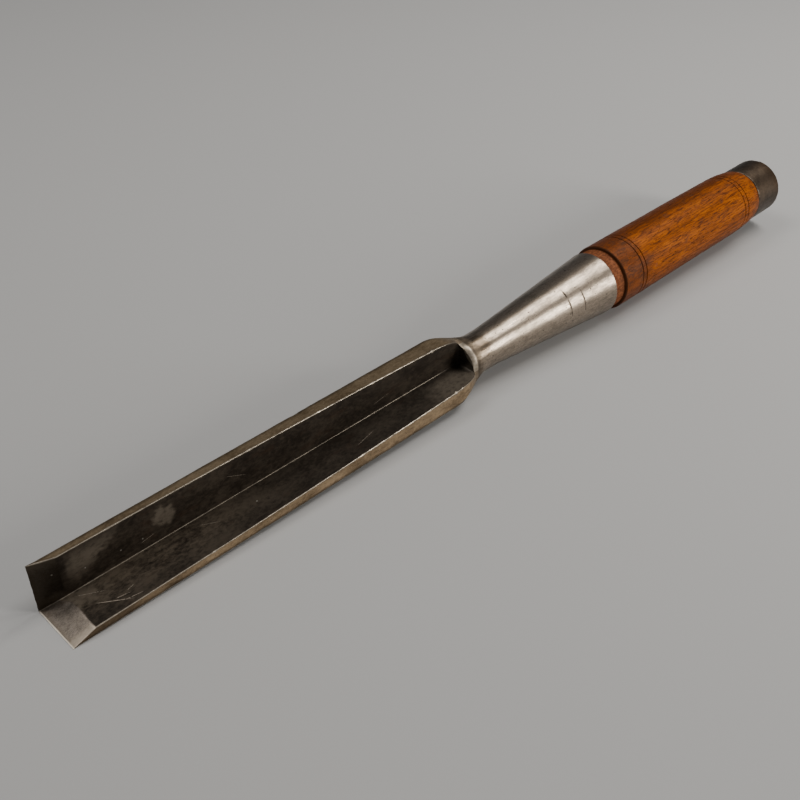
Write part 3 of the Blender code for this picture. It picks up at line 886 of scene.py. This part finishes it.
def blade_steel():
    """Old tool steel: dark patina in the channel, rubbed tan-brown outside, bright where honed."""
    paint = Paint("blade_steel", metallic=1.0, specular=0.25)
    wear, crease, edge, channel, neck = paint.marks("wear", "crease", "edge", "channel", "neck")
    honed, rubbed, across, far = paint.marks("honed", "rubbed", "across", "far")

    clouds = paint.noise(16.0, 9.0, 4.0, 0.6)
    mottle = paint.noise(2.6, 1.5, 5.0, 0.68, 3.0, 0.4)
    grit = paint.noise(0.5, 0.4, 3.0, 0.6, 7.0)
    drawn = paint.noise(14.0, 0.35, 3.0, 0.6, 11.0)
    spots = paint.pits(1.5, 1.5, 0.22, 2.0)

    # Distances from the two outer faces, each of which is the other wing's width.
    far_width = paint.math("SUBTRACT", paint.z, -NECK_RADIUS)
    near_width = paint.math("SUBTRACT", NECK_RADIUS, paint.y)

    # Outside faces and the wings' edge faces, which are darker along their outer borders.
    share = paint.grade(paint.weighted((clouds, 0.6), (mottle, 0.5)), 0.38, 0.72)
    outside = paint.mix(share, (0.085, 0.062, 0.042), (0.20, 0.16, 0.112))
    speckled = paint.noise(1.5, 0.9, 4.0, 0.7, 17.0)
    edge_share = paint.weighted((clouds, 0.5), (mottle, 0.25), (speckled, 0.3))
    edge_share = paint.grade(edge_share, 0.36, 0.68)
    edge_face = paint.mix(edge_share, (0.1, 0.069, 0.037), (0.28, 0.21, 0.13))
    # Painted light: the near wing's edge face, which faces the near side's lights, is a lighter copy of the
    # same steel.
    lit_near_edge_face = paint.mix(edge_share, (0.17, 0.115, 0.062), (0.50, 0.36, 0.215))
    tip_stain = paint.grade(paint.sum(paint.x, paint.times(clouds, 30.0)), 38.0, 75.0, 0.65, 0.0)
    lit_near_edge_face = paint.mix(tip_stain, lit_near_edge_face, (0.075, 0.05, 0.03))
    edge_face = paint.mix(far, lit_near_edge_face, edge_face)
    ragged = paint.weighted((mottle, 1.8), (drawn, 1.2), (clouds, 1.2))
    from_border = paint.sum(paint.blend(far, far_width, near_width), ragged)
    border = paint.grade(from_border, 2.3, 4.5, 0.85, 0.0)
    edge_face = paint.mix(border, edge_face, (0.05, 0.034, 0.02))
    outside = paint.mix(edge, outside, edge_face)
    fine_spots = paint.times(edge, paint.pits(1.6, 1.0, 0.35, 27.0))
    spots = paint.highest(spots, fine_spots)
    outside = paint.mix(paint.times(spots, 0.75), outside, (0.05, 0.033, 0.02))

    # The channel's patina.
    patchy = paint.grade(paint.weighted((clouds, 0.45), (mottle, 0.6)), 0.4, 0.7)
    dark = paint.mix(patchy, (0.022, 0.016, 0.011), (0.07, 0.054, 0.038))
    reddish = paint.grade(paint.noise(11.0, 5.0, 3.0, 0.5, 21.0), 0.55, 0.75, 0.0, 0.5)
    dark = paint.mix(reddish, dark, (0.05, 0.028, 0.016))
    near = paint.rest(far)
    hazed = paint.times(near, paint.grade(paint.x, 45.0, 125.0, 1.0, 0.08))
    hazed = paint.times(hazed, paint.grade(across, 0.3, 0.85, 1.0, 0.3))
    dark = paint.mix(paint.times(near, 0.5), dark, (0.012, 0.009, 0.006))
    # Painted shade: the far channel face just past the heel is darkened.
    painted_shade_beside_heel = paint.times(far, paint.grade(paint.x, 9.0, 18.0, 0.5, 0.0))
    dark = paint.mix(painted_shade_beside_heel, dark, (0.012, 0.008, 0.005))
    cloudy = paint.grade(paint.weighted((mottle, 0.55), (clouds, 0.5)), 0.36, 0.66)
    dark = paint.mix(paint.times(hazed, cloudy), dark, (0.115, 0.09, 0.064))
    rub = paint.grade(paint.sum(mottle, paint.times(drawn, 0.15)), 0.12, 0.66, 0.0, 0.9)
    dark = paint.mix(paint.times(rubbed, rub), dark, (0.165, 0.136, 0.102))
    width = paint.blend(far, near_width, far_width)
    marks = [paint.times(near, paint.streak(width, *mark)) for mark in NEAR_SCRATCHES]
    marks += [paint.times(far, paint.streak(width, *mark)) for mark in FAR_SCRATCHES]
    scratch = paint.times(paint.sum(*marks), paint.grade(grit, 0.3, 0.62))
    dark = paint.mix(paint.times(scratch, 0.9), dark, (0.45, 0.38, 0.3))
    specks = [paint.times(near, paint.speck(width, place)) for place in NEAR_SPECKS]
    specks += [paint.times(far, paint.speck(width, place)) for place in FAR_SPECKS]
    neck_colour, neck_roughness, neck_height = bright_steel(paint)
    outside = paint.mix(neck, outside, neck_colour)
    # Painted shadow: a dark thin line on the neck just behind the lip.
    shadow_behind_lip = paint.grade(paint.x, LIP_END - 0.6, LIP_END)
    shadow_behind_lip = paint.times(shadow_behind_lip, paint.grade(paint.x, LIP_END, LIP_END + 2.5, 0.6, 0.0))
    outside = paint.mix(shadow_behind_lip, outside, (0.05, 0.036, 0.024))
    colour = paint.mix(channel, outside, dark)

    # Honed bevel, with a tan stain towards the corner and the cutting edge.
    by_corner = paint.grade(paint.sum(across, paint.times(mottle, 0.35)), 0.15, 0.42, 1.0, 0.0)
    by_cutting_edge = paint.grade(paint.sum(paint.x, mottle), 0.9, 3.0, 0.7, 0.0)
    stain = paint.highest(by_corner, by_cutting_edge)
    fine = paint.weighted((grit, 0.5), (mottle, 0.5))
    bevel = paint.mix(paint.grade(fine, 0.34, 0.64), (0.185, 0.153, 0.122), (0.35, 0.3, 0.25))
    bevel = paint.mix(paint.times(stain, 0.5), bevel, (0.21, 0.152, 0.098))
    by_arris = paint.grade(paint.sum(across, paint.times(mottle, 0.2)), 0.85, 1.1, 0.0, 0.75)
    bevel = paint.mix(by_arris, bevel, (0.62, 0.52, 0.41))
    # Painted shade: the far wing's bevel is a much darker copy of the same honed steel.
    bevel = paint.mix(paint.times(far, 0.88), bevel, (0.02, 0.0135, 0.007))
    # Painted highlight: a bright glint along the near cutting edge only.
    painted_glint = paint.grade(paint.sum(paint.x, paint.times(mottle, 0.3)), 0.5, 0.85, 0.95, 0.0)
    bevel = paint.mix(paint.times(painted_glint, near), bevel, (1.0, 0.9, 0.75))
    colour = paint.mix(honed, colour, bevel)
    colour = paint.mix(paint.times(paint.sum(*specks), 0.65), colour, (0.42, 0.39, 0.34))
    bright = paint.highest(wear, paint.times(crease, 0.4))
    bright = paint.times(bright, paint.grade(mottle, 0.25, 0.55, 0.7, 1.0))
    colour = paint.mix(bright, colour, (0.68, 0.59, 0.47))

    roughness = paint.blend(patchy, 0.42, 0.55)
    roughness = paint.blend(channel, paint.blend(share, 0.52, 0.42), roughness)
    roughness = paint.blend(honed, roughness, 0.42)
    roughness = paint.blend(bright, roughness, 0.3)
    pitted = paint.times(spots, paint.rest(honed))
    rough_part = paint.times(mottle, paint.rest(paint.times(honed, 0.85)))
    height = paint.sum(rough_part, paint.weighted((grit, 0.25), (scratch, -0.6), (pitted, -0.8)))
    roughness = paint.blend(neck, roughness, neck_roughness)
    height = paint.blend(neck, height, neck_height)
    bare = paint.highest(honed, bright, neck)
    metallic = paint.blend(bare, paint.blend(channel, 0.75, 0.4), 1.0)
    return paint.finish(colour, roughness, height, 0.05, metallic)


def socket_steel():
    """Bright, worn steel with fine pits, faint grinding marks and brown stain at the weld."""
    paint = Paint("socket_steel", metallic=1.0)
    wear, bore, scribed = paint.marks("wear", "bore", "scribed")
    colour, roughness, height = bright_steel(paint)
    grit = paint.noise(0.45, 0.35, 3.0, 0.6, 13.0)
    coarse = paint.pits(2.6, 2.6, 0.05, 8.0)
    chosen = paint.sum(*[paint.spot(middle, radius) for middle, radius in SOCKET_PITS])
    dark = paint.highest(coarse, chosen, scribed)
    colour = paint.mix(paint.times(dark, 0.85), colour, (0.035, 0.027, 0.02))
    colour = paint.mix(paint.times(wear, 0.7), colour, (0.5, 0.43, 0.35))
    colour = paint.mix(bore, colour, (0.09, 0.06, 0.04))
    roughness = paint.blend(paint.highest(bore, dark), roughness, 0.7)
    height = paint.sum(height, paint.weighted((grit, 0.25), (dark, -0.8)))
    return paint.finish(colour, roughness, height, 0.035)


def handle_wood():
    """Oiled amber hardwood: growth bands, short open pores along the grain, grime near the ends."""
    paint = Paint("handle_wood", specular=0.1)
    shoulder, groove, bruised = paint.marks("shoulder", "groove", "bruised")

    # Growth bands round a pith that lies beside the handle.
    drift = paint.noise(60.0, 9.0, 3.0, 0.5, 2.0)
    pith_y = paint.math("SUBTRACT", paint.y, PITH[0])
    pith_z = paint.math("SUBTRACT", paint.z, PITH[1])
    ripple = paint.weighted((paint.length(pith_y, pith_z), 2.6), (drift, 9.0))
    bands = paint.grade(paint.math("SINE", ripple), -0.6, 1.0)
    fibre = paint.noise(9.0, 0.75, 4.0, 0.72, 6.0, 0.05)
    pores = paint.noise(4.0, 0.42, 1.0, 0.5, 12.0, 0.1)
    long_dashes = paint.pits(9.0, 1.5, 0.8, 14.0)
    short_dashes = paint.pits(6.0, 1.1, 0.7, 24.0)
    pore = paint.highest(paint.grade(pores, 0.62, 0.7), long_dashes, short_dashes)
    blotch = paint.noise(22.0, 5.0, 4.0, 0.6, 19.0, 0.1)
    fleck = paint.noise(4.2, 2.2, 4.0, 0.65, 27.0, 0.8)

    share = paint.grade(paint.weighted((bands, 0.1), (fibre, 0.72), (blotch, 0.26)), 0.36, 0.68)
    colour = paint.mix(share, (0.08, 0.017, 0.0008), (0.245, 0.053, 0.001))
    # Painted light and shade: the side facing up and towards the near side is lighter and the far side
    # darker; the golden patches are weighted by it too.
    painted_light_side = paint.grade(paint.weighted((paint.z, 0.6), (paint.y, -0.8), (blotch, 6.0)), 9.0, 20.0, 0.15, 1.0)
    gold = paint.times(paint.grade(blotch, 0.4, 0.66, 0.5, 1.0), paint.grade(fibre, 0.36, 0.56), painted_light_side)
    colour = paint.mix(paint.times(gold, 0.75), colour, (0.50, 0.126, 0.0012))
    colour = paint.mix(paint.grade(painted_light_side, 0.2, 0.7, 0.4, 0.0), colour, (0.045, 0.012, 0.002))
    colour = paint.mix(paint.grade(fleck, 0.54, 0.7, 0.0, 0.45), colour, (0.085, 0.030, 0.010))
    colour = paint.mix(paint.times(pore, 0.78), colour, (0.028, 0.008, 0.002))

    # Redder and dirtier before the first pair of grooves and towards the hoop.
    uneven_x = paint.sum(paint.x, paint.times(blotch, 14.0))
    front = paint.grade(uneven_x, 361.0, 374.0, 1.0, 0.0)
    back = paint.grade(uneven_x, 470.0, 488.0, 0.0, 0.6)
    colour = paint.mix(paint.times(paint.highest(front, back), 0.62), colour, (0.125, 0.03, 0.005))
    sooty = paint.times(front, paint.grade(fleck, 0.46, 0.6))
    colour = paint.mix(paint.times(sooty, 0.6), colour, (0.06, 0.024, 0.012))
    colour = paint.mix(paint.times(groove, 0.8), colour, (0.045, 0.017, 0.008))
    colour = paint.mix(paint.times(bruised, 0.45), colour, (0.09, 0.035, 0.014))

    # The bare tenon, paler and dull, darkest at the socket's rim; the shoulder face above it is painted
    # dark as shade in the step.
    inside = paint.grade(paint.x, SHOULDER - 0.3, SHOULDER, 1.0, 0.0)
    bare = paint.mix(paint.grade(fibre, 0.3, 0.7), (0.18, 0.056, 0.02), (0.36, 0.122, 0.046))
    rough_fleck = paint.noise(1.6, 1.2, 4.0, 0.7, 33.0)
    bare = paint.mix(paint.grade(rough_fleck, 0.42, 0.6, 0.0, 0.85), bare, (0.13, 0.04, 0.016))
    by_rim = paint.grade(paint.x, SOCKET_MOUTH + 0.6, SOCKET_MOUTH + 2.2, 0.7, 0.0)
    bare = paint.mix(by_rim, bare, (0.07, 0.025, 0.012))
    colour = paint.mix(inside, colour, bare)
    # Painted shade on the shoulder face.
    colour = paint.mix(shoulder, colour, (0.085, 0.031, 0.012))

    # The butt's end grain.
    end_grain = paint.grade(paint.x, BUTT_EDGE - 0.4, BUTT_EDGE + 0.3)
    ring_pores = paint.pits(30.0, 0.9, 0.4, 44.0)
    end_wood = paint.mix(paint.blend(0.5, bands, fleck), (0.042, 0.018, 0.008), (0.16, 0.075, 0.034))
    end_wood = paint.mix(paint.times(ring_pores, 0.7), end_wood, (0.018, 0.008, 0.004))
    colour = paint.mix(paint.times(end_grain, 0.92), colour, end_wood)

    roughness = paint.grade(fleck, 0.4, 0.75, 0.42, 0.55)
    roughness = paint.blend(paint.highest(inside, end_grain, pore), roughness, 0.68)
    turning_marks = paint.math("SINE", paint.times(paint.x, 5.2))
    height = paint.weighted((fibre, 0.5), (pore, -0.8), (fleck, 0.3), (turning_marks, 0.05))
    return paint.finish(colour, roughness, height, 0.07)


def hoop_steel():
    """Grey-brown steel ring, mottled, with brighter rubbed edges."""
    paint = Paint("hoop_steel", metallic=1.0)
    [wear] = paint.marks("wear")
    clouds = paint.noise(9.0, 7.0, 4.0, 0.6, 15.0)
    mottle = paint.noise(1.9, 1.6, 5.0, 0.68, 25.0)
    grit = paint.noise(0.45, 0.4, 3.0, 0.6, 35.0)
    spots = paint.pits(1.5, 1.5, 0.25, 6.0)
    share = paint.grade(paint.weighted((clouds, 0.6), (mottle, 0.5)), 0.38, 0.72)
    colour = paint.mix(share, (0.040, 0.028, 0.019), (0.108, 0.078, 0.054))
    rust = paint.grade(paint.sum(paint.x, paint.times(clouds, 14.0)), 500.0, 512.0, 0.0, 0.6)
    colour = paint.mix(rust, colour, (0.062, 0.034, 0.016))
    colour = paint.mix(paint.times(spots, 0.7), colour, (0.05, 0.035, 0.025))
    colour = paint.mix(paint.times(wear, 0.7), colour, (0.20, 0.175, 0.145))
    roughness = paint.blend(wear, paint.blend(share, 0.5, 0.38), 0.32)
    height = paint.sum(mottle, paint.weighted((grit, 0.25), (spots, -0.8)))
    return paint.finish(colour, roughness, height, 0.05)


# ---------------- floor, lights, camera


def floor():
    """A plain pale floor."""
    bm = bmesh.new()
    corners = [(-1.0, -1.0), (1.0, -1.0), (1.0, 1.0), (-1.0, 1.0)]
    bm.faces.new([bm.verts.new((x * FLOOR_REACH, y * FLOOR_REACH, 0.0)) for x, y in corners])
    mesh = bpy.data.meshes.new("floor")
    bm.to_mesh(mesh)
    bm.free()
    made = placed("floor", mesh)
    material = bpy.data.materials.new("floor_paint")
    material.use_nodes = True
    shader = material.node_tree.nodes["Principled BSDF"]
    shader.inputs["Base Color"].default_value = (*FLOOR_COLOUR, 1.0)
    shader.inputs["Roughness"].default_value = 0.85
    mesh.materials.append(material)


def softbox(name, direction, distance, size, power, colour):
    """A rectangular soft light that looks at the tool's middle from a direction."""
    light = bpy.data.lights.new(name, "AREA")
    light.shape = "RECTANGLE"
    light.size, light.size_y = size
    light.energy = power
    light.color = colour
    made = placed(name, light)
    towards = Vector(direction).normalized()
    made.location = towards * distance
    made.rotation_mode = "QUATERNION"
    made.rotation_quaternion = towards.to_track_quat("Z", "Y")


def studio():
    """Pale surroundings and three soft lights: two from the butt's end, one high and one low on
    the near side, and a weaker one from behind."""
    world = bpy.data.worlds.new("studio")
    world.use_nodes = True
    background = world.node_tree.nodes["Background"]
    background.inputs["Color"].default_value = (*WORLD_COLOUR, 1.0)
    background.inputs["Strength"].default_value = WORLD_STRENGTH
    bpy.context.scene.world = world
    for settings in LIGHTS:
        softbox(*settings)


def camera(tool):
    """The photographer's view, three quarters from above the cutting edges."""
    data = bpy.data.cameras.new("camera")
    data.lens = LENS
    data.sensor_width = SENSOR
    data.clip_start, data.clip_end = 0.01, 20.0
    made = placed("camera", data)
    turn = tool.to_world.to_3x3()
    back = (turn @ -LOOK).normalized()
    right = (turn @ DOWN.cross(LOOK)).normalized()
    up = back.cross(right)
    place = Matrix.Translation(tool.to_world @ (EYE * MM))
    made.matrix_world = place @ Matrix((right, up, back)).transposed().to_4x4()
    bpy.context.scene.camera = made


# ---------------- the scene


def main():
    """Loads the frame, makes and paints the four pieces, and sets the scene round them."""
    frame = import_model()
    tool = Tool(frame)
    painted(blade(tool), blade_steel(), FORGING, "corner_blade")
    painted(socket(tool), socket_steel(), FORGING, "socket")
    painted(handle(tool), handle_wood(), HOOPED_HANDLE, "handle")
    painted(hoop(tool), hoop_steel(), HOOPED_HANDLE, "hoop")
    floor()
    studio()
    camera(tool)


main()
